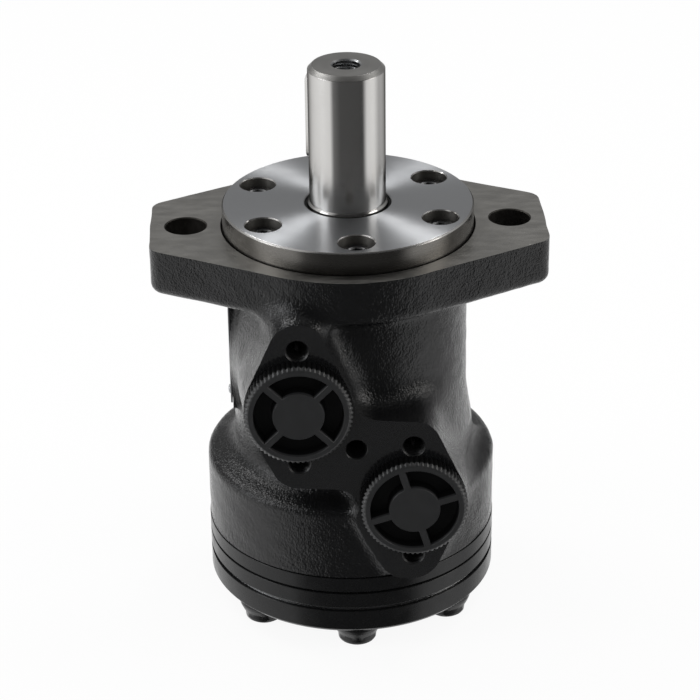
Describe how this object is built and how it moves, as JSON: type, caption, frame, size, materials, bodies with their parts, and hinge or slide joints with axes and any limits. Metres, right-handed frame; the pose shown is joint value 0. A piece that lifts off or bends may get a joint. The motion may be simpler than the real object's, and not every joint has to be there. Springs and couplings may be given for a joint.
{
  "type": "orbital hydraulic motor",
  "caption": "Orbital hydraulic motor with an oval mounting flange, keyed output shaft, round steel front cover and capped side ports on a cast body.",
  "frame": {"origin": "on the shaft axis, on the flat middle of the end cover's back", "axes": "+Z along the shaft, out of the flange; +X through the flange's ears; the ports face -Y"},
  "size_m": [0.13, 0.1049, 0.1911],
  "materials": {
    "painted_casting": "satin black paint over a rough casting",
    "painted_steel": "satin black paint over turned steel",
    "turned_steel": "fine turned",
    "ground_steel": "ground",
    "hard_steel": "hardened",
    "black_steel": "black oxide",
    "rubber": "matte",
    "plug_plastic": "matte",
    "aluminium": "satin"
  },
  "bodies": {
    "casing": {"housing": "painted_casting", "front_cover": "turned_steel", "cover_seal": "rubber", "shaft_seal": "rubber", "dust_seal": "rubber", "spacer_plate": "painted_steel", "gear_ring": "painted_steel", "end_cover": "painted_steel", "body_seal_front": "rubber", "body_seal_middle": "rubber", "body_seal_rear": "rubber", "cover_screw_1": "black_steel", "cover_screw_2": "black_steel", "cover_screw_3": "black_steel", "cover_screw_4": "black_steel", "cover_screw_5": "black_steel", "cover_screw_6": "black_steel", "end_bolt_1": "black_steel", "end_bolt_2": "black_steel", "end_bolt_3": "black_steel", "end_bolt_4": "black_steel", "end_bolt_5": "black_steel", "end_bolt_6": "black_steel", "end_bolt_7": "black_steel", "bearing_race_front": "hard_steel", "drain_plug": "painted_steel", "drain_washer": "aluminium", "name_plate": "aluminium", "plate_rivet_1": "aluminium", "plate_rivet_2": "aluminium"},
    "shaft": {"output_shaft": "ground_steel", "shaft_key": "ground_steel", "bearing_race_rear": "hard_steel"},
    "cage": {"needle_cage": "hard_steel"},
    "orbit": {"link_stop": "hard_steel"},
    "star": {"rotor_star": "hard_steel"},
    "link": {"drive_link": "hard_steel"},
    "roller_1": {"roller_1": "hard_steel"},
    "roller_2": {"roller_2": "hard_steel"},
    "roller_3": {"roller_3": "hard_steel"},
    "roller_4": {"roller_4": "hard_steel"},
    "roller_5": {"roller_5": "hard_steel"},
    "roller_6": {"roller_6": "hard_steel"},
    "roller_7": {"roller_7": "hard_steel"},
    "seal_a": {"port_seal_a": "rubber"},
    "plug_a": {"port_plug_a": "plug_plastic"},
    "seal_b": {"port_seal_b": "rubber"},
    "plug_b": {"port_plug_b": "plug_plastic"}
  },
  "joints": [
    {"name": "shaft_spin", "type": "hinge", "parent": "casing", "child": "shaft", "pos_m": [0, 0, 0], "axis": [0, 0, 1], "continuous": true},
    {"name": "cage_spin", "type": "hinge", "parent": "casing", "child": "cage", "pos_m": [0, 0, 0], "axis": [0, 0, 1], "continuous": true},
    {"name": "star_orbit", "type": "hinge", "parent": "casing", "child": "orbit", "pos_m": [0, 0, 0], "axis": [0, 0, 1], "continuous": true},
    {"name": "star_spin", "type": "hinge", "parent": "orbit", "child": "star", "pos_m": [0, 0.0024, 0], "axis": [0, 0, 1], "continuous": true},
    {"name": "link_spin", "type": "hinge", "parent": "orbit", "child": "link", "pos_m": [0, 0, 0.084], "axis": [0, -0.0332, 0.9994], "continuous": true},
    {"name": "roller_1_spin", "type": "hinge", "parent": "casing", "child": "roller_1", "pos_m": [0, 0.033, 0.01175], "axis": [0, 0, 1], "continuous": true},
    {"name": "roller_2_spin", "type": "hinge", "parent": "casing", "child": "roller_2", "pos_m": [-0.0258, 0.02057, 0.01175], "axis": [0, 0, 1], "continuous": true},
    {"name": "roller_3_spin", "type": "hinge", "parent": "casing", "child": "roller_3", "pos_m": [-0.03217, -0.00734, 0.01175], "axis": [0, 0, 1], "continuous": true},
    {"name": "roller_4_spin", "type": "hinge", "parent": "casing", "child": "roller_4", "pos_m": [-0.01432, -0.02973, 0.01175], "axis": [0, 0, 1], "continuous": true},
    {"name": "roller_5_spin", "type": "hinge", "parent": "casing", "child": "roller_5", "pos_m": [0.01432, -0.02973, 0.01175], "axis": [0, 0, 1], "continuous": true},
    {"name": "roller_6_spin", "type": "hinge", "parent": "casing", "child": "roller_6", "pos_m": [0.03217, -0.00734, 0.01175], "axis": [0, 0, 1], "continuous": true},
    {"name": "roller_7_spin", "type": "hinge", "parent": "casing", "child": "roller_7", "pos_m": [0.0258, 0.02057, 0.01175], "axis": [0, 0, 1], "continuous": true},
    {"name": "plug_a_travel", "type": "slide", "parent": "casing", "child": "seal_a", "axis": [0, -1, 0], "range_m": [0, 0.0102]},
    {"name": "plug_a_turn", "type": "hinge", "parent": "seal_a", "child": "plug_a", "pos_m": [-0.0184, -0.05, 0.086], "axis": [0, -1, 0], "range_deg": [0, 1980]},
    {"name": "plug_b_travel", "type": "slide", "parent": "casing", "child": "seal_b", "axis": [0, -1, 0], "range_m": [0, 0.0102]},
    {"name": "plug_b_turn", "type": "hinge", "parent": "seal_b", "child": "plug_b", "pos_m": [0.0184, -0.05, 0.0505], "axis": [0, -1, 0], "range_deg": [0, 1980]}
  ],
  "couplings": [
    {"joint": "cage_spin", "follows": "shaft_spin", "ratio": 0.5},
    {"joint": "star_orbit", "follows": "shaft_spin", "ratio": -6},
    {"joint": "star_spin", "follows": "shaft_spin", "ratio": 7},
    {"joint": "link_spin", "follows": "shaft_spin", "ratio": 7},
    {"joint": "plug_a_travel", "follows": "plug_a_turn", "m_per_rad": 0.00028871},
    {"joint": "plug_b_travel", "follows": "plug_b_turn", "m_per_rad": 0.00028871}
  ]
}
